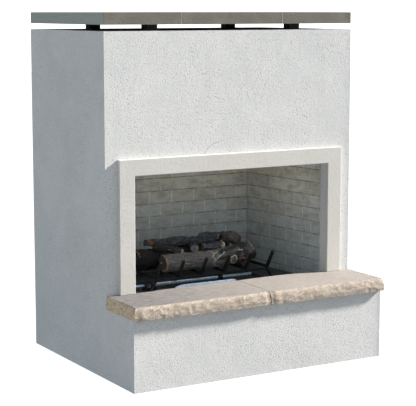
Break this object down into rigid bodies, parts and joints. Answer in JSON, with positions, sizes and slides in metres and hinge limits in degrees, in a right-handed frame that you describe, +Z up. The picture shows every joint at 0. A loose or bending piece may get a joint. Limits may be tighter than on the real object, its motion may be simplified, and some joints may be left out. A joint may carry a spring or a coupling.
{
  "type": "outdoor fireplace",
  "caption": "Stuccoed outdoor gas fireplace with a raised stone hearth, a splayed brick-pattern firebox, ceramic logs on a bar grate and a stone cap raised on pads.",
  "frame": {"origin": "on the ground under the middle of the part's outline", "axes": "+Z up; -Y towards the front, where the opening and the hearth are; +X to the right of someone who faces the opening"},
  "size_m": [1.332, 1.092, 1.634],
  "materials": {
    "stucco": "matte orange-peel render",
    "blockwork": "matte",
    "cast_stone": "smooth matte",
    "sandstone": "split face, sawn top",
    "cap_stone": "honed",
    "grout": "matte",
    "firebrick": "matte",
    "flue_clay": "matte",
    "charred_bark": "matte, charred bark relief",
    "black_bark": "matte, charred",
    "firebox_black": "matte black",
    "black_steel": "satin black",
    "zinc_steel": "dull zinc",
    "burner_steel": "satin stainless",
    "pad_rubber": "matte"
  },
  "bodies": {
    "fireplace": {"base_slab": "blockwork", "body_front_wall": "stucco", "body_left_wall": "stucco", "body_rear_wall": "stucco", "body_right_wall": "stucco", "branch_log": "black_bark", "burner_pan": "firebox_black", "burner_tube": "burner_steel", "cap_bar_front": "zinc_steel", "cap_bar_rear": "zinc_steel", "cap_joint_left": "grout", "cap_joint_right": "grout", "cap_pad_front_left": "pad_rubber", "cap_pad_front_right": "pad_rubber", "cap_pad_rear_left": "pad_rubber", "cap_pad_rear_right": "pad_rubber", "cap_slab_left": "cap_stone", "cap_slab_middle": "cap_stone", "cap_slab_right": "cap_stone", "crown_slab": "stucco", "firebox_back": "firebrick", "firebox_floor": "firebox_black", "firebox_left": "firebrick", "firebox_right": "firebrick", "flue_liner": "flue_clay", "front_log": "charred_bark", "gas_supply_tube": "zinc_steel", "gas_valve": "black_steel", "grate_front_bar": "black_steel", "grate_leg_front_left": "black_steel", "grate_leg_front_right": "black_steel", "grate_leg_rear_left": "black_steel", "grate_leg_rear_right": "black_steel", "grate_rear_bar": "black_steel", "grate_tine_1": "black_steel", "grate_tine_2": "black_steel", "grate_tine_3": "black_steel", "grate_tine_4": "black_steel", "grate_tine_5": "black_steel", "grate_tine_6": "black_steel", "hearth_edge_strip": "zinc_steel", "hearth_slab_left": "sandstone", "hearth_slab_right": "sandstone", "lintel_angle": "zinc_steel", "plinth_front_wall": "stucco", "plinth_left_wall": "stucco", "plinth_rear_wall": "stucco", "plinth_right_wall": "stucco", "rear_log": "charred_bark", "round_end_log": "charred_bark", "smoke_hood": "black_steel", "split_log": "black_bark", "surround_head": "cast_stone", "surround_left": "cast_stone", "surround_right": "cast_stone", "thick_log": "charred_bark", "top_log": "black_bark", "top_plate": "black_steel", "tube_clip": "black_steel"},
    "gas_knob": {"valve_knob": "firebox_black"}
  },
  "joints": [
    {"name": "gas_knob_turn", "type": "hinge", "parent": "fireplace", "child": "gas_knob", "pos_m": [-0.339, -0.049, 0.3616], "axis": [0, -1, 0], "range_deg": [0, 90]}
  ]
}
